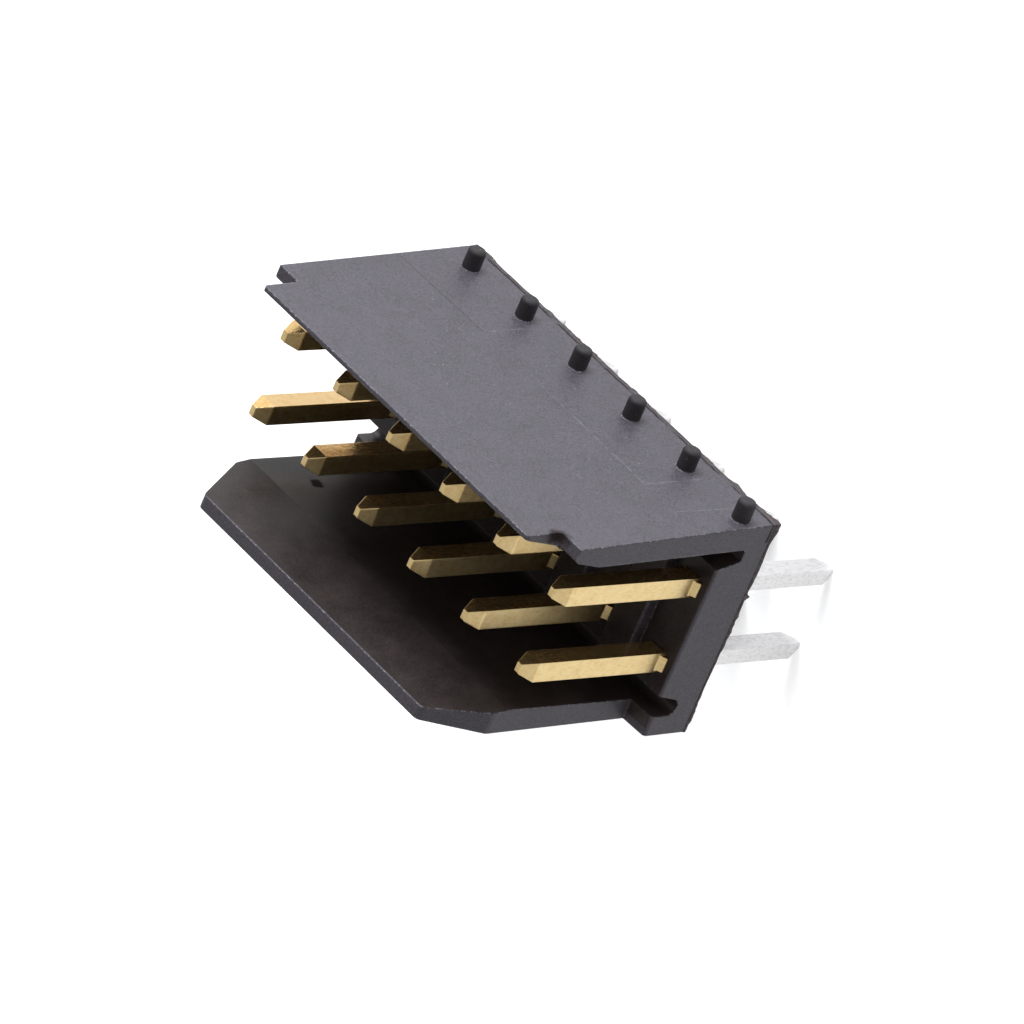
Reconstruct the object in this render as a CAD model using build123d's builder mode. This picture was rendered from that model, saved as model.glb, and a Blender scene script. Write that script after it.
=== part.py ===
from build123d import *
import os

os.makedirs("parts", exist_ok=True)

# Shrouded two-row board header: one moulded housing that carries twelve square contact posts.
# The origin lies on the board plane at the centre of the contact grid. +X runs along the rows, +Y points
# across the rows to the wall with the pegs, and +Z is the direction in which the mating plug is drawn off.
# All sizes are in millimetres.

# Contact grid
columns = 6
pitch = 2.54
row_pitch = 2.54

# Contact posts
post_side = 0.64
mating_height = 6.99
mating_flat_along = 0.17
mating_flat_across = 0.30
mating_bevel = 0.48
tail_across = 0.51
tail_length = 4.02
tail_flat_along = 0.17
tail_flat_across = 0.24
tail_bevel = 0.50
tail_start = 0.35
ear_reach = 0.17
ear_flat = 0.05
ear_height = 0.19
ear_across = 0.48

# Housing base
end_margin = 0.75
base_height = 1.64
floor_edge = 0.10
bay_width = 1.40
rib_height = 0.36
rib_draft = 4.0
rib_edge = 0.05
hole_clearance = 0.01
base_edge = 0.06

# Slot between the floor and the upper wall, measured across the rows
upper_margin = 0.87
slot_mouth = 0.62
slot_bottom_width = 0.40
slot_floor = 0.83
slot_round = 0.10

# Upper wall, which leans over the contacts and ends in a thin middle tongue
upper_wall = 0.75
upper_lean = 0.054
upper_inner_lean = 0.041
tab_height = 7.43
tab_round = 0.16
tongue_height = 8.70
tongue_inset = 0.87
tongue_edge = 0.13
tongue_corner = 0.12
notch_root = 0.15
lead_in_start = 6.40

# Groove between the floor and the lower wall
lower_margin = 0.87
groove_mouth = 0.71
groove_radius = 0.29
groove_floor = 0.76

# Lower wall, shorter than the base and with its front corners cut off
lower_wall = 0.65
lower_flare = 0.025
lower_height = 8.75
lower_inset = 0.90
lower_edge = 0.41
corner_along = 0.98
corner_up = 1.84
corner_round = 0.25
shoulder_end = 1.58
shoulder_round = 0.12

# Pegs on the outer face of the upper wall
peg_diameter = 0.55
peg_reach = 0.65
peg_height = 1.05
peg_offset = 0.29
peg_edge = 0.13

# Planes and lines that follow from the sizes above
row = row_pitch / 2
half_length = (columns - 1) * pitch / 2 + end_margin
floor_upper = row + upper_margin
floor_lower = -row - lower_margin
upper_inner = floor_upper + slot_mouth
lower_inner = floor_lower - groove_mouth
upper_outer = upper_inner + upper_wall
lower_outer = lower_inner - lower_wall
groove_line = lower_inner + groove_radius
hole_side = post_side + 2 * hole_clearance


def upper_outer_at(height):
    # Outer face of the upper wall, which leans inwards above the floor and outwards below it
    return upper_outer - upper_lean * (height - base_height)


def upper_inner_at(height):
    # Inner face of the upper wall up to the start of its lead-in
    return upper_inner - upper_inner_lean * (height - base_height)


def lower_outer_at(height):
    # Outer face of the lower wall, which flares outwards a little
    return lower_outer - lower_flare * (height - base_height)


# Elevations of the two sides of the housing, seen across the rows
with BuildPart() as elevation:
    # Side of the floor and the upper wall, with a tab at each end and the tongue between them
    with BuildSketch(Plane.XZ.offset(-groove_line)) as upper_elevation:
        with BuildLine():
            Polyline(
                (0, 0),
                (half_length, 0),
                (half_length, tab_height),
                (half_length - tongue_inset, tab_height),
                (half_length - tongue_inset, tongue_height),
                (0, tongue_height),
            )
            mirror(about=Plane.YZ)
        make_face()
        fillet(upper_elevation.vertices().group_by(Axis.Y)[-1], tongue_corner)
    extrude(amount=-(2 * upper_outer))
    # Side of the lower wall, with the base standing out past its ends
    with BuildSketch(Plane.XZ.offset(-groove_line)) as lower_elevation:
        with BuildLine():
            Polyline(
                (0, 0),
                (half_length, 0),
                (half_length, shoulder_end),
                (half_length - lower_inset, base_height),
                (half_length - lower_inset, lower_height - corner_up),
                (half_length - lower_inset - corner_along, lower_height),
                (0, lower_height),
            )
            mirror(about=Plane.YZ)
        make_face()
        wall_corners = lower_elevation.vertices().group_by(Axis.Y)[-2:]
        fillet(wall_corners[0] + wall_corners[1], corner_round)
        fillet(lower_elevation.vertices().group_by(Axis.Y)[1], shoulder_round)
    extrude(amount=-(2 * lower_outer))

# Ribs that stand on the floor between the columns
with BuildPart() as ribs:
    with BuildSketch(Plane.XY.offset(base_height)):
        with Locations((0, (floor_upper + floor_lower) / 2)):
            with GridLocations(pitch, 0, columns - 1, 1):
                Rectangle(pitch - bay_width, floor_upper - floor_lower)
    extrude(amount=rib_height, taper=rib_draft)
    chamfer(ribs.faces().group_by(Axis.Z)[-1].edges().filter_by(Axis.Y), rib_edge)

with BuildPart() as housing:
    # Section along the rows: base, slot, groove and both walls in one outline
    with BuildSketch(Plane.YZ) as section:
        with BuildLine():
            Polyline(
                (groove_line + groove_radius, groove_floor + groove_radius),
                (floor_lower, base_height),
                (floor_upper, base_height),
                (upper_inner_at(slot_floor) - slot_bottom_width, slot_floor),
                (upper_inner_at(slot_floor), slot_floor),
                (upper_inner_at(lead_in_start), lead_in_start),
                (upper_outer_at(tongue_height) - tongue_edge, tongue_height),
                (upper_outer_at(tongue_height), tongue_height),
                (upper_outer_at(0), 0),
                (lower_outer_at(0), 0),
                (lower_outer_at(lower_height), lower_height),
                (lower_outer_at(lower_height) + lower_edge, lower_height),
                (lower_inner, lead_in_start),
                (lower_inner, groove_floor + groove_radius),
            )
            ThreePointArc(
                (lower_inner, groove_floor + groove_radius),
                (groove_line, groove_floor),
                (groove_line + groove_radius, groove_floor + groove_radius),
            )
        make_face()
        fillet(section.vertices().sort_by_distance((upper_inner_at(slot_floor), slot_floor))[:2], slot_round)
    extrude(amount=half_length, both=True)
    add(elevation.part, mode=Mode.INTERSECT)
    # Rounded inner edge on top of both tabs, which the plug meets first at the ends
    tab_tops = housing.edges().filter_by_position(Axis.Z, tab_height, tab_height)
    fillet(tab_tops.filter_by(Axis.X).group_by(Axis.Y)[0], tab_round)
    # Rounded root of the notch between each tab and the tongue
    tab_tops = housing.edges().filter_by_position(Axis.Z, tab_height, tab_height).filter_by(Axis.Y)
    notch_side = half_length - tongue_inset
    fillet(tab_tops.filter_by_position(Axis.X, -notch_side, notch_side), notch_root)
    # Rounded edge at both ends of the floor
    floor_edges = housing.edges().filter_by(Axis.Y).filter_by_position(Axis.Z, base_height, base_height)
    fillet(floor_edges.group_by(Axis.X)[0] + floor_edges.group_by(Axis.X)[-1], floor_edge)
    # Rounded edge all round the board side
    fillet(housing.faces().sort_by(Axis.Z)[0].edges(), base_edge)
    add(ribs.part)
    # Round pegs near the board on the outer face of the upper wall
    with BuildSketch(Plane.XZ.offset(-(upper_outer_at(peg_height) + peg_reach))):
        with Locations((peg_offset, peg_height)):
            with GridLocations(pitch, 0, columns, 1):
                Circle(peg_diameter / 2)
    extrude(amount=peg_reach + upper_wall / 2)
    fillet(housing.edges().filter_by(GeomType.CIRCLE).group_by(Axis.Y)[-1], peg_edge)
    # Square holes for the posts, through the base
    with BuildSketch(Plane.XY):
        with GridLocations(pitch, row_pitch, columns, 2):
            Rectangle(hole_side, hole_side)
    extrude(amount=base_height, mode=Mode.SUBTRACT)
housing.part.label = "housing"
export_step(housing.part, "parts/housing.step")

# One post, standing on the origin: tail down through the board, mating end up between the walls
with BuildPart() as post:
    with BuildSketch(Plane.XY.offset(tail_start)):
        Rectangle(post_side, post_side)
    extrude(amount=mating_height - mating_bevel - tail_start)
    # Four bevels that lead the plug on and end in a small flat
    with BuildSketch(Plane.XY.offset(mating_height - mating_bevel)):
        Rectangle(post_side, post_side)
    with BuildSketch(Plane.XY.offset(mating_height)):
        Rectangle(mating_flat_along, mating_flat_across)
    loft()
    # Thinner tail with the same kind of bevelled end
    with BuildSketch(Plane.XY.offset(tail_bevel - tail_length)):
        Rectangle(post_side, tail_across)
    extrude(amount=tail_start + tail_length - tail_bevel)
    with BuildSketch(Plane.XY.offset(-tail_length)):
        Rectangle(tail_flat_along, tail_flat_across)
    with BuildSketch(Plane.XY.offset(tail_bevel - tail_length)):
        Rectangle(post_side, tail_across)
    loft()
    # Ears on both sides that stop the post on the housing floor
    with BuildSketch(Plane.XZ):
        with BuildLine():
            Polyline(
                (0, base_height),
                (post_side / 2 + ear_reach, base_height),
                (post_side / 2 + ear_reach, base_height + ear_flat),
                (post_side / 2, base_height + ear_height),
                (0, base_height + ear_height),
            )
            mirror(about=Plane.YZ)
        make_face()
    extrude(amount=ear_across / 2, both=True)

for row_name, side in (("upper", 1), ("lower", -1)):
    for number in range(columns):
        place = Location(((number - (columns - 1) / 2) * pitch, side * row, 0))
        contact = post.part.moved(place)
        contact.label = f"post_{row_name}_{number + 1}"
        export_step(contact, f"parts/{contact.label}.step")
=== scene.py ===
import math

import bpy
from mathutils import Matrix, Vector, noise


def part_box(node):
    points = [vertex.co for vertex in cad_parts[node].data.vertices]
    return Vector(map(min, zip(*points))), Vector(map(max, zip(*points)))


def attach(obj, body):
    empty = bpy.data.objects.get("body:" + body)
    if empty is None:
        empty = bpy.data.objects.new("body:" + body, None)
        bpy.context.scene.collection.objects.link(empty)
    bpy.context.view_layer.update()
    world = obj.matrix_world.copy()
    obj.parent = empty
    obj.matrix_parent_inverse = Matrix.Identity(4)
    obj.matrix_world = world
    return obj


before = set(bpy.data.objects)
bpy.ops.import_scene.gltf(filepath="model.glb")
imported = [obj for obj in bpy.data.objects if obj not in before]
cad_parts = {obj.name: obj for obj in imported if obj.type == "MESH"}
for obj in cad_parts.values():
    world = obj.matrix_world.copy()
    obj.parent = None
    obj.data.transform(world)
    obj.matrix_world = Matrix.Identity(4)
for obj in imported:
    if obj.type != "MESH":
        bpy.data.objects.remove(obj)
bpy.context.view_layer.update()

# Housing: one moulding of black, glass-filled polyester with a base that carries the contacts, two
# leaning walls that guide the plug and six round pegs. It leaves the mould matte and finely grained
# outside, where the steel was spark-eroded, and smoother inside, where a polished core shaped it.

MM = 0.001

BLACK_OUTSIDE = (0.0235, 0.0195, 0.0255, 1)
# The cavity's black is darker than the outside's: painted shade
SHADED_BLACK_INSIDE = (0.0200, 0.0150, 0.0148, 1)
FIBRE_GREY = (0.11, 0.11, 0.12, 1)
CHAFED_GREY = (0.22, 0.22, 0.24, 1)
# A near-black, almost matte look, towards which the painted shade and the dark marks are mixed
SHADE_AND_MARK_BLACK = (0.010, 0.007, 0.006, 1)
PLASTIC_SHEEN = 0.34
PLASTIC_ROUGHNESS = 0.52
SHADE_AND_MARK_SHEEN = 0.05
SHADE_AND_MARK_ROUGHNESS = 0.9

# Sizes of the plastic's own texture in millimetres: clouds and mottling from the flow, the grain and
# its depth, the rounding and the nicks of worn edges, and the gaps in its light lines
CLOUD = 0.9
MOTTLE = 0.22
FINE_GRAIN = 0.06
GRAIN_DEPTH = 0.008
EDGE_ROUNDING = 0.075
NICK = 0.07
LINE_GAP = 0.3

# Ends of glass fibres at the surface: spacing and radius in millimetres, and how many cells have one
LARGE_FIBRES = (0.30, 0.035, 0.16)
SMALL_FIBRES = (0.11, 0.022, 0.10)

# How much the grain, the mottling and the clouds lighten and darken the black
GRAIN_CONTRAST = 2.6
MOTTLE_CONTRAST = 0.5
CLOUD_CONTRAST = 0.4

# How strongly the lighter marks, the crease's painted shade and the patches along the edges cover the black,
# from 0 to 1
FIBRE_STRENGTH = 0.55
NICK_STRENGTH = 0.55
CREASE_SHADE_STRENGTH = 0.80
EDGE_DARKENING_STRENGTH = 0.30

# How the cavity differs from the outside: darker with painted shade, smoother, calmer in its fibres and
# relief, cloudier
CAVITY_PAINTED_SHADE = 0.45
CAVITY_SMOOTHER = 0.17
CAVITY_CALMER = 0.7
CAVITY_CLOUDIER = 1.6

# How the pegs differ from the face that they stand on: duller, darker and rougher
PEG_DULLNESS = 0.30
PEG_SHADE = 0.6
PEG_ROUGHER = 0.20

# Bounds of the cavity in millimetres: just inside the flats on top of both walls, just under its slot
# and groove, and just over the ribs on its floor. Its lower wall lies beyond the last value.
CAVITY_LOWER_SIDE = -3.26
CAVITY_UPPER_SIDE = 2.985
CAVITY_BOTTOM = 0.5
CAVITY_RIBS_TOP = 2.1
LOWER_WALL_STARTS = -2.6

# A face counts as the end of a wall, or as facing up, once its normal goes this far along X or Z
END_FACING = 0.5
TOP_FACING = 0.8

# Outer face of the upper wall: where it meets the board plane, how much it leans in per millimetre, how
# far out from it the pegs are taken to start, and the face's own bounds across the rows and upwards
UPPER_FOOT = 3.5986
UPPER_LEAN = 0.054
PEG_STARTS = 0.02
OUTER_FACE_STARTS = 3.0
OUTER_FACE_TOP = 8.6

# Lines where the mould's inserts met, on that face: both ends along X and Z, and the line's strength.
# Below them, how far to each side they spread, and the length over which they fade at their ends.
LIGHT_WITNESS_LINES = [
    ((-0.45, 2.94), (4.60, 3.00), 0.12),
    ((-3.04, 2.93), (-2.96, 1.20), 0.12),
    ((4.60, 2.92), (4.70, 0.95), 0.14),
    ((5.97, 2.90), (6.16, 0.80), 0.12),
]
# The dark one is painted shade along the small step where two inserts met
SHADED_WITNESS_STEPS = [
    ((-6.95, 3.03), (-3.05, 2.97), 0.45),
]
LIGHT_LINE_SPREAD = 0.040
DARK_LINE_SPREAD = 0.030
LINE_FADE = 0.1

# Painted shade of a crease along the foot of that face: its height, how far it wavers, and how far to each
# side of its middle it spreads and is at its darkest
CREASE_HEIGHT = 0.135
CREASE_WAVER = 0.10
CREASE_SPREAD = 0.065
CREASE_CORE = 0.025

# Flow marks on the inner face of the lower wall, as points along X and Z
FLOW_MARKS = [
    [(4.04, 8.40), (4.10, 6.94), (4.04, 5.16), (4.06, 4.45)],
    [(2.10, 6.63), (1.84, 4.79)],
]
FLOW_MARK_SPREAD = 0.045
FLOW_MARK_STRENGTH = 0.03

# Dull dark places: a patch at the root of the near notch, and a burnt spot on the lower wall. Each has a
# middle, a radius and a strength, and their outlines waver.
DARK_SPOTS = [
    ((6.36, 3.12, 7.62), 0.42, 0.85),
    ((-4.83, -2.85, 4.92), 0.26, 0.80),
]
DARK_SPOT_WAVER = 0.3

# Part of a round spot's radius in which it is at full strength
SPOT_CORE = 0.4

# Corners that are as near as this and share an edge become one, which clears two slivers off the mesh
SLIVER = 0.0001 * MM


class Shade:
    """A socket in a material's nodes, with arithmetic that adds the nodes it needs."""

    def __init__(self, tree, socket=None):
        self.tree = tree
        self.socket = socket

    def node(self, kind, settings=None, inputs=None, output=0):
        """Adds a node: its settings are set first, then the values or links of its input sockets."""
        made = self.tree.nodes.new("ShaderNode" + kind)
        for name, value in (settings or {}).items():
            setattr(made, name, value)
        for name, value in (inputs or {}).items():
            if isinstance(value, Shade):
                self.tree.links.new(value.socket, made.inputs[name])
            else:
                made.inputs[name].default_value = value
        return Shade(self.tree, made.outputs[output])

    def out(self, name):
        """Another output of the same node."""
        return Shade(self.tree, self.socket.node.outputs[name])

    def is_wide(self):
        """Whether this is a vector or a colour."""
        return self.socket.type in ("VECTOR", "RGBA")

    def maths(self, operation, first, second):
        """A Math node for numbers, or a Vector Math node where either side is a vector or a colour."""
        wide = [side for side in (first, second) if isinstance(side, Shade) and side.is_wide()]
        if not wide:
            return self.node("Math", {"operation": operation}, {0: first, 1: second})
        if operation == "MULTIPLY" and len(wide) == 1:
            number = second if wide[0] is first else first
            return self.node("VectorMath", {"operation": "SCALE"}, {0: wide[0], "Scale": number})
        return self.node("VectorMath", {"operation": operation}, {0: first, 1: second})

    def __add__(self, other):
        return self.maths("ADD", self, other)

    def __radd__(self, other):
        return self.maths("ADD", other, self)

    def __sub__(self, other):
        return self.maths("SUBTRACT", self, other)

    def __rsub__(self, other):
        return self.maths("SUBTRACT", other, self)

    def __mul__(self, other):
        return self.maths("MULTIPLY", self, other)

    def __rmul__(self, other):
        return self.maths("MULTIPLY", other, self)

    def __gt__(self, other):
        return self.maths("GREATER_THAN", self, other)

    def __lt__(self, other):
        return self.maths("LESS_THAN", self, other)

    def __abs__(self):
        return self.maths("ABSOLUTE", self, 0.0)

    def rise(self, low, high):
        """Climbs smoothly from 0 at low to 1 at high, or falls where low is the larger."""
        return self.node(
            "MapRange",
            {"interpolation_type": "SMOOTHSTEP"},
            {"Value": self, "From Min": low, "From Max": high},
        )

    def between(self, first, second):
        """A mask as the factor between two colours."""
        return self.node("Mix", {"data_type": "RGBA"}, {0: self, 6: first, 7: second}, output=2)

    def surface(self):
        """Makes this shader the look of its material."""
        output = self.tree.nodes.new("ShaderNodeOutputMaterial")
        self.tree.links.new(self.socket, output.inputs["Surface"])


def new_material(name):
    """A material whose nodes are still to be added."""
    material = bpy.data.materials.new(name)
    material.use_nodes = True
    material.node_tree.nodes.clear()
    return material


def grain(where, size, detail=2.0, roughness=0.5):
    """Even noise from 0 to 1 whose spots are about this many millimetres wide."""
    return where.node(
        "TexNoise",
        {"noise_dimensions": "3D"},
        {"Vector": where, "Scale": 1 / size, "Detail": detail, "Roughness": roughness},
        output="Fac",
    )


def specks(where, spacing, radius, share):
    """Round specks: one cell in every so many millimetres, and this share of the cells has one."""
    away = where.node(
        "TexVoronoi",
        {"feature": "F1"},
        {"Vector": where, "Scale": 1 / spacing},
        output="Distance",
    )
    chosen = where.node("SeparateXYZ", None, {"Vector": away.out("Color")}) < share
    return away.rise(radius / spacing, SPOT_CORE * radius / spacing) * chosen


def hairline(x, z, start, end, spread):
    """A mask that is 1 on the line from start to end, along X and Z, and fades out on both sides."""
    run = Vector(end) - Vector(start)
    length = run.length
    along = (x - start[0]) * (run.x / length) + (z - start[1]) * (run.y / length)
    aside = (x - start[0]) * (-run.y / length) + (z - start[1]) * (run.x / length)
    on_the_way = along.rise(-LINE_FADE, LINE_FADE) * along.rise(length + LINE_FADE, length - LINE_FADE)
    return abs(aside).rise(spread, 0.0) * on_the_way


def witness_lines(x, z, lines, spread):
    """A mask of lines where the mould's inserts met, each with its own strength."""
    mask = 0.0
    for start, end, strength in lines:
        mask = hairline(x, z, start, end, spread) * strength + mask
    return mask


def flow_marks(x, z):
    """A mask of the faint lines that the plastic left as it flowed."""
    mask = 0.0
    for points in FLOW_MARKS:
        for start, end in zip(points, points[1:]):
            mask = hairline(x, z, start, end, FLOW_MARK_SPREAD) * FLOW_MARK_STRENGTH + mask
    return mask


def dark_spots(place, unevenness):
    """A mask of the dull dark places, whose outlines are pushed in and out by the unevenness."""
    mask = 0.0
    for middle, radius, strength in DARK_SPOTS:
        away = place.node("VectorMath", {"operation": "DISTANCE"}, {0: place, 1: middle}, output="Value")
        mask = (away + unevenness).rise(radius, SPOT_CORE * radius) * strength + mask
    return mask


def cavity_faces(y, z, facing):
    """A mask of the cavity, apart from the ends of the walls and the flats on top of them."""
    between_walls = (y > CAVITY_LOWER_SIDE) * (y < CAVITY_UPPER_SIDE) * (z > CAVITY_BOTTOM)
    not_an_end = abs(facing.out("X")) < END_FACING
    on_top = (facing.out("Z") > TOP_FACING) * (z > CAVITY_RIBS_TOP)
    return not_an_end * between_walls * (1.0 - on_top)


def worn_edges(start):
    """The normal rounded over every edge, and a mask of where that turns it away from the mesh's own."""
    rounded = start.node("Bevel", {"samples": 8}, {"Radius": EDGE_ROUNDING * MM})
    own = start.node("NewGeometry", output="Normal")
    agreement = start.node("VectorMath", {"operation": "DOT_PRODUCT"}, {0: rounded, 1: own}, output="Value")
    return rounded, agreement.rise(0.999, 0.92)


def moulded_plastic():
    material = new_material("moulded_plastic")
    start = Shade(material.node_tree)
    place = start.node("TexCoord", output="Object") * (1 / MM)
    split = start.node("SeparateXYZ", None, {"Vector": place})
    x = split.out("X")
    y = split.out("Y")
    z = split.out("Z")
    facing = start.node("SeparateXYZ", None, {"Vector": start.node("NewGeometry", output="True Normal")})
    inside = cavity_faces(y, z, facing)
    outer_face = (y > OUTER_FACE_STARTS) * (z < OUTER_FACE_TOP)
    pegs = (y + z * UPPER_LEAN) > UPPER_FOOT + PEG_STARTS

    cloud = grain(place, CLOUD, detail=3.0)
    mottle = grain(place, MOTTLE, detail=3.0)
    fine = grain(place, FINE_GRAIN, detail=2.0, roughness=0.7)
    fibres = specks(place, *LARGE_FIBRES) + specks(place, *SMALL_FIBRES) * 0.5
    rounded, edge = worn_edges(start)
    nicks = edge * grain(place, NICK, detail=3.0).rise(0.46, 0.70)
    # Patches along the edges that are mixed towards the dull look
    patchy_edge_darkening = edge * mottle.rise(0.56, 0.40)

    # Light marks: the lines between the inserts, with gaps where they were rubbed off, and the flow marks
    light_lines = witness_lines(x, z, LIGHT_WITNESS_LINES, LIGHT_LINE_SPREAD)
    light = light_lines * outer_face * grain(place, LINE_GAP).rise(0.35, 0.60)
    flow = flow_marks(x, z) * (y < LOWER_WALL_STARTS) * inside

    # Dark marks: painted shade in the crease, in the cavity and along a step between inserts, patches along
    # the edges, the dull pegs and the dark spots
    off_crease = abs(z - CREASE_HEIGHT + (mottle - 0.5) * CREASE_WAVER)
    crease_shade = outer_face * (1.0 - pegs) * off_crease.rise(CREASE_SPREAD, CREASE_CORE) * cloud.rise(0.36, 0.50)
    witness_step_shade = witness_lines(x, z, SHADED_WITNESS_STEPS, DARK_LINE_SPREAD) * outer_face
    dark = crease_shade * CREASE_SHADE_STRENGTH + patchy_edge_darkening * EDGE_DARKENING_STRENGTH + pegs * PEG_DULLNESS + inside * CAVITY_PAINTED_SHADE
    dark = dark + dark_spots(place, (mottle - 0.5) * DARK_SPOT_WAVER) + witness_step_shade

    # In the cavity the black is darkened as painted shade
    black = inside.between(BLACK_OUTSIDE, SHADED_BLACK_INSIDE) * (1.0 - pegs * PEG_SHADE)
    clouds = (cloud - 0.5) * (CLOUD_CONTRAST + inside * CAVITY_CLOUDIER)
    varied = black * (1.0 + (fine - 0.5) * GRAIN_CONTRAST + (mottle - 0.5) * MOTTLE_CONTRAST + clouds)
    calm = 1.0 - inside * CAVITY_CALMER
    fibred = (fibres * calm * FIBRE_STRENGTH).between(varied, FIBRE_GREY)
    worn = (nicks * NICK_STRENGTH + light + flow).between(fibred, CHAFED_GREY)
    uneven = (mottle - 0.5) * 0.12
    roughness = PLASTIC_ROUGHNESS - inside * CAVITY_SMOOTHER + uneven + pegs * PEG_ROUGHER
    height = (mottle * 0.35 + fine * 0.65) * calm
    relief = start.node(
        "Bump",
        None,
        {"Strength": 0.5, "Distance": GRAIN_DEPTH * MM, "Height": height, "Normal": rounded},
    )
    clean = start.node(
        "BsdfPrincipled",
        None,
        {
            "Base Color": worn,
            "Roughness": roughness,
            "Normal": relief,
            "Specular IOR Level": PLASTIC_SHEEN,
        },
    )
    # The dull look carries the painted shade and the dark marks
    dull = start.node(
        "BsdfPrincipled",
        None,
        {"Base Color": SHADE_AND_MARK_BLACK, "Roughness": SHADE_AND_MARK_ROUGHNESS, "Specular IOR Level": SHADE_AND_MARK_SHEEN},
    )
    start.node("MixShader", None, {0: dark, 1: clean, 2: dull}).surface()
    return material


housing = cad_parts["housing"]
housing.data.materials.clear()
housing.data.materials.append(moulded_plastic())
weld = housing.modifiers.new("weld", "WELD")
weld.mode = "CONNECTED"
weld.merge_threshold = SLIVER

# Moulding flash: a thin, ragged skirt of the same polyester, which the worn parting line of the mould
# left round the board side of the housing. It is part of the moulding, thickest at the corners under
# the pegs.

FLASH_BROWN = (0.020, 0.014, 0.013, 1)
FLASH_PALE = (0.055, 0.045, 0.045, 1)
FLASH_SHEEN = 0.25
FLASH_ROUGHNESS = 0.7
FLASH_MOTTLE = 0.12
FLASH_RELIEF = 0.01

# How far the skirt laps up the walls, its least depth below the board plane and how much that grows,
# how densely its swells and its teeth follow each other, and the length of one step of its mesh
FLASH_TOP = 0.062
FLASH_LEAST = 0.035
FLASH_SPREAD = 0.115
FLASH_SWELLS = 1.3
FLASH_TEETH = 6.0
FLASH_STEP = 0.04

# Corners of the housing's mesh that are lower than this lie on the outline of its board side
BOARD_SIDE = 0.1 * MM

# Where the skirt is thicker: at both corners under the pegs, at a nib beside the upper row, and at two
# stretches next to the near corner. Places along X and Y, how far each reaches, how much deeper it hangs
FLASH_LUMPS = [
    ((7.10, 3.60), 0.45, 0.10),
    ((-7.10, 3.60), 0.50, 0.06),
    ((7.10, 1.13), 0.07, 0.15),
    ((7.10, 2.30), 0.60, 0.05),
    ((5.20, 3.60), 0.30, 0.07),
]


def flash_plastic():
    material = new_material("flash_plastic")
    start = Shade(material.node_tree)
    place = start.node("TexCoord", output="Object") * (1 / MM)
    mottle = grain(place, FLASH_MOTTLE, detail=3.0)
    colour = mottle.rise(0.45, 0.72).between(FLASH_BROWN, FLASH_PALE)
    relief = start.node("Bump", None, {"Strength": 0.5, "Distance": FLASH_RELIEF * MM, "Height": mottle})
    start.node(
        "BsdfPrincipled",
        None,
        {
            "Base Color": colour,
            "Roughness": FLASH_ROUGHNESS,
            "Normal": relief,
            "Specular IOR Level": FLASH_SHEEN,
        },
    ).surface()
    return material


def flash_depth(x, y):
    """How far the skirt hangs below the board plane at one place of its outline, all in millimetres."""
    swell = noise.noise(Vector((x * FLASH_SWELLS, y * FLASH_SWELLS, 4.0)))
    tooth = noise.noise(Vector((x * FLASH_TEETH, y * FLASH_TEETH, 9.0)))
    depth = FLASH_LEAST + FLASH_SPREAD * max(0.0, 0.45 + 0.9 * swell) * (0.75 + 0.6 * tooth)
    for (lump_x, lump_y), reach, extra in FLASH_LUMPS:
        away = math.hypot(x - lump_x, y - lump_y) / reach
        depth += extra * math.exp(-away * away)
    return depth


def flash_section(depth):
    """Outline of the skirt as distances out from the wall and heights, starting inside the wall."""
    return [
        (-0.05, 0.02),
        (-0.02, FLASH_TOP + 0.01),
        (0.008, FLASH_TOP - 0.01),
        (0.011, 0.0),
        (0.006, -0.6 * depth),
        (-0.010, -depth),
        (-0.030, -0.7 * depth),
        (-0.045, -0.01),
    ]


def moulding_flash():
    """The skirt's mesh: its section swept round the outline of the housing at the board plane."""
    foot = [vertex.co / MM for vertex in housing.data.vertices if vertex.co.z < BOARD_SIDE]
    left = min(place.x for place in foot)
    right = max(place.x for place in foot)
    lower = min(place.y for place in foot)
    upper = max(place.y for place in foot)
    corners = [(left, lower), (right, lower), (right, upper), (left, upper)]
    vertices = []
    for number, corner in enumerate(corners):
        here = Vector(corner)
        run = Vector(corners[(number + 1) % len(corners)]) - here
        outward = Vector((run.y, -run.x)).normalized()
        before = here - Vector(corners[number - 1])
        previous = Vector((before.y, -before.x)).normalized()
        steps = round(run.length / FLASH_STEP)
        for step in range(steps):
            spot = here + run * (step / steps)
            aim = outward if step else outward + previous
            for out, height in flash_section(flash_depth(spot.x, spot.y)):
                vertices.append(Vector((spot.x + aim.x * out, spot.y + aim.y * out, height)) * MM)
    ring = len(flash_section(0.0))
    rows = len(vertices) // ring
    faces = []
    for row in range(rows):
        here = row * ring
        following = (row + 1) % rows * ring
        for point in range(ring):
            beside = (point + 1) % ring
            faces.append((here + point, here + beside, following + beside, following + point))
    mesh = bpy.data.meshes.new("moulding_flash")
    mesh.from_pydata(vertices, [], faces)
    mesh.shade_smooth()
    mesh.materials.append(flash_plastic())
    flash = bpy.data.objects.new("moulding_flash", mesh)
    bpy.context.scene.collection.objects.link(flash)
    return flash


flash = moulding_flash()
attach(flash, "root")

# Contacts: twelve posts of drawn, square brass wire, with ears and tapered ends pressed into it. The
# mating end is gold plated, the tail is tin plated for soldering, and both platings end inside the
# base. Each post is pushed in from above until its ears stop on the floor.

GOLD = (0.57, 0.44, 0.225, 1)
GOLD_SHADE = (0.49, 0.335, 0.135, 1)
GOLD_METALLIC = 0.93
TIN = (0.57, 0.555, 0.555, 1)
TIN_SHADE = (0.45, 0.44, 0.44, 1)
SCUFF_GREY = (0.34, 0.33, 0.33, 1)
TIN_METALLIC = 1.0
PLATING_ROUGHNESS = 0.32

# Scuffs on the tin: spacing and radius in millimetres, how many cells have one, and how strongly it shows
SCUFFS = (0.5, 0.07, 0.14)
SCUFF_STRENGTH = 0.6

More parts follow.
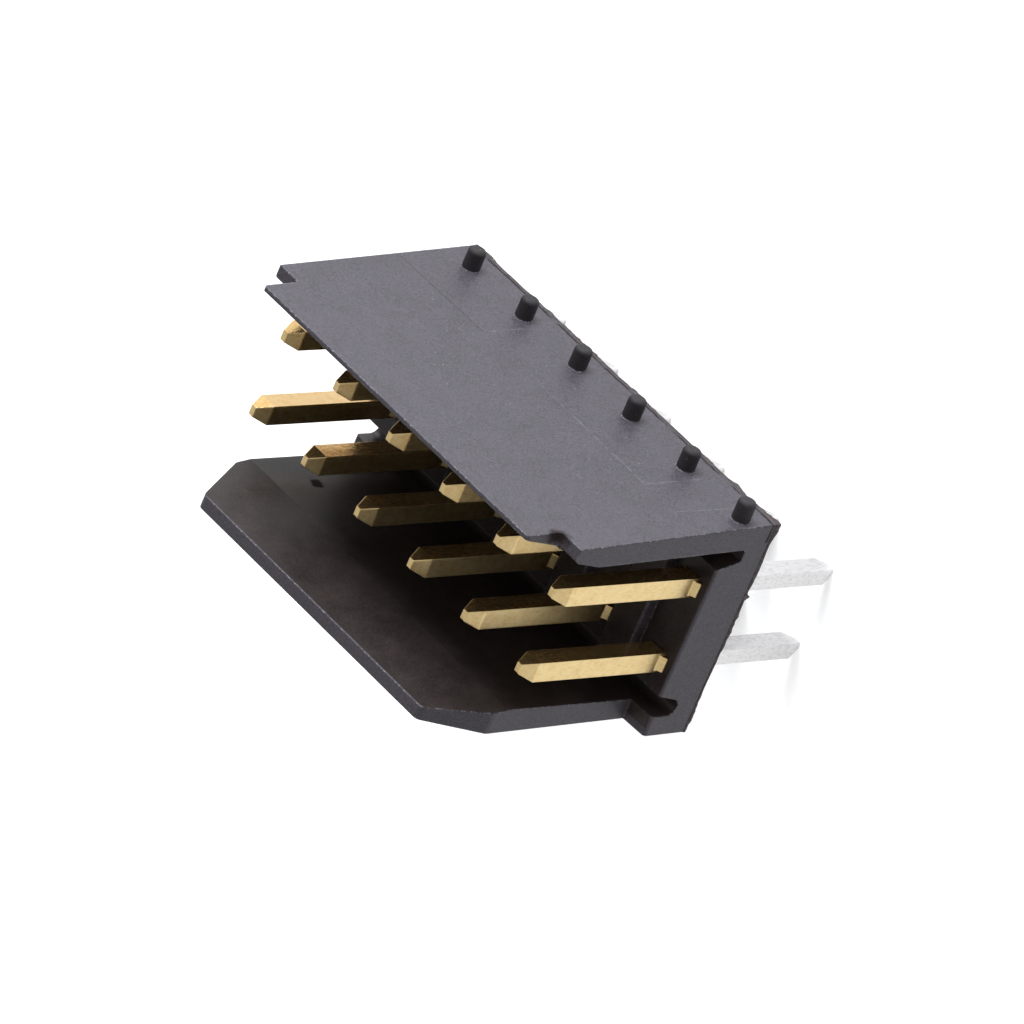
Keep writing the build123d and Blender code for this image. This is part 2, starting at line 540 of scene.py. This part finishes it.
# The gold sides that look across the rows are smoother than those that look along them, and browner with
# painted shade. A side is one of them once its normal goes this far along Y.
ACROSS_PAINTED_SHADE = (0.92, 0.82, 0.72)
ACROSS_SMOOTHER = 0.15
ACROSS_FACING = 0.5

# In millimetres: the height at which the gold gives way to tin, the wire's grain, which is stretched
# along it, its mottling, and the depth of both
PLATING_ENDS = 0.80
WIRE_GRAIN = 0.075
WIRE_STRETCH = (1.0, 1.0, 0.45)
WIRE_MOTTLE = 0.25
WIRE_RELIEF = 0.005

# Broken edges: their width, the least angle between faces that they need, and how near two corners
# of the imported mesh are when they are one
EDGE_BREAK = 0.055 * MM
SHARP = math.radians(25)
SAME_CORNER = 0.001 * MM


def plated_contact():
    material = new_material("plated_contact")
    start = Shade(material.node_tree)
    place = start.node("TexCoord", output="Object") * (1 / MM)
    facing = start.node("SeparateXYZ", None, {"Vector": start.node("NewGeometry", output="True Normal")})
    across = abs(facing.out("Y")) > ACROSS_FACING
    tinned = start.node("SeparateXYZ", None, {"Vector": place}).out("Z") < PLATING_ENDS
    drawn = start.node("VectorMath", {"operation": "MULTIPLY"}, {0: place, 1: WIRE_STRETCH})
    fine = grain(drawn, WIRE_GRAIN, detail=2.0, roughness=0.6)
    mottle = grain(place, WIRE_MOTTLE, detail=3.0)

    gold_along = (fine * 0.6 + mottle * 0.4).rise(0.62, 0.26).between(GOLD, GOLD_SHADE)
    # Painted shade: the sides that look across the rows are browner
    gold_across_shaded = start.node("VectorMath", {"operation": "MULTIPLY"}, {0: gold_along, 1: ACROSS_PAINTED_SHADE})
    gold = across.between(gold_along, gold_across_shaded)
    bare_tin = fine.rise(0.60, 0.26).between(TIN, TIN_SHADE)
    tin = (specks(place, *SCUFFS) * SCUFF_STRENGTH).between(bare_tin, SCUFF_GREY)
    metallic = GOLD_METALLIC + tinned * (TIN_METALLIC - GOLD_METALLIC)
    smoother = across * (1.0 - tinned) * ACROSS_SMOOTHER
    roughness = PLATING_ROUGHNESS - smoother + (fine - 0.5) * 0.14
    height = fine * 0.9 + mottle * 2.0
    relief = start.node("Bump", None, {"Strength": 0.5, "Distance": WIRE_RELIEF * MM, "Height": height})
    start.node(
        "BsdfPrincipled",
        None,
        {
            "Base Color": tinned.between(gold, tin),
            "Metallic": metallic,
            "Roughness": roughness,
            "Normal": relief,
        },
    ).surface()
    return material


def break_edges(node):
    """Takes the sharp edges off a post without touching its mesh."""
    weld = node.modifiers.new("weld", "WELD")
    weld.merge_threshold = SAME_CORNER
    bevel = node.modifiers.new("edge_break", "BEVEL")
    bevel.width = EDGE_BREAK
    bevel.segments = 3
    bevel.limit_method = "ANGLE"
    bevel.angle_limit = SHARP
    bevel.harden_normals = True


plating = plated_contact()
for name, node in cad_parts.items():
    if name.startswith("post_"):
        node.data.materials.clear()
        node.data.materials.append(plating)
        break_edges(node)

# Studio: a plain white paper floor under the tails, which glows a little to come out white, a pale
# surround, and one soft lamp over the side with the pegs.

PAPER_WHITE = (0.80, 0.80, 0.80, 1)
PAPER_ROUGHNESS = 0.9
LIT_WHITE = (1, 1, 1, 1)
FLOOR_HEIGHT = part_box("post_upper_1")[0].z
FLOOR_SIZE = 1.2
FLOOR_GLOW = 0.34
SURROUND = 0.94
LAMP_PLACE = (-0.06, 0.24, 0.055)
LAMP_SIZE = 0.14
LAMP_POWER = 2.0
LAMP_COLOUR = (0.91, 0.96, 1.0)

bpy.ops.mesh.primitive_plane_add(size=FLOOR_SIZE, location=(0, 0, FLOOR_HEIGHT))
floor = bpy.context.object
floor.name = "studio_floor"
paper = new_material("floor_paper")
Shade(paper.node_tree).node(
    "BsdfPrincipled",
    None,
    {
        "Base Color": PAPER_WHITE,
        "Roughness": PAPER_ROUGHNESS,
        "Specular IOR Level": 0.0,
        "Emission Color": LIT_WHITE,
        "Emission Strength": FLOOR_GLOW,
    },
).surface()
floor.data.materials.append(paper)

surround = bpy.data.worlds.new("studio")
surround.use_nodes = True
surround.node_tree.nodes["Background"].inputs["Color"].default_value = LIT_WHITE
surround.node_tree.nodes["Background"].inputs["Strength"].default_value = SURROUND
bpy.context.scene.world = surround

softbox = bpy.data.lights.new("softbox", "AREA")
softbox.shape = "SQUARE"
softbox.size = LAMP_SIZE
softbox.energy = LAMP_POWER
softbox.color = LAMP_COLOUR
lamp = bpy.data.objects.new("softbox", softbox)
lamp.location = LAMP_PLACE
lamp.rotation_euler = (-Vector(LAMP_PLACE)).to_track_quat("-Z", "Y").to_euler()
bpy.context.scene.collection.objects.link(lamp)

# Camera: a long lens 288 mm away, turned as the photograph's, so that the rows run from the upper left
# of the picture to the lower right. The view shows the colours as they are, without a film curve.

CAMERA_PLACE = (0.16523, 0.12406, 0.20052)
CAMERA_RIGHT = (0.5916, 0.3616, -0.7206)
CAMERA_DOWN = (0.5637, -0.8245, 0.0490)
LENS = 356.9
FILM_WIDTH = 36

right = Vector(CAMERA_RIGHT).normalized()
up = -Vector(CAMERA_DOWN)
up = (up - right * up.dot(right)).normalized()
back = right.cross(up)
lens = bpy.data.cameras.new("camera")
lens.lens = LENS
lens.sensor_width = FILM_WIDTH
lens.clip_start = 0.01
lens.clip_end = 10
camera = bpy.data.objects.new("camera", lens)
turn = Matrix((right, up, back)).transposed().to_4x4()
camera.matrix_world = Matrix.Translation(CAMERA_PLACE) @ turn
bpy.context.scene.collection.objects.link(camera)
bpy.context.scene.camera = camera
bpy.context.scene.view_settings.view_transform = "Standard"
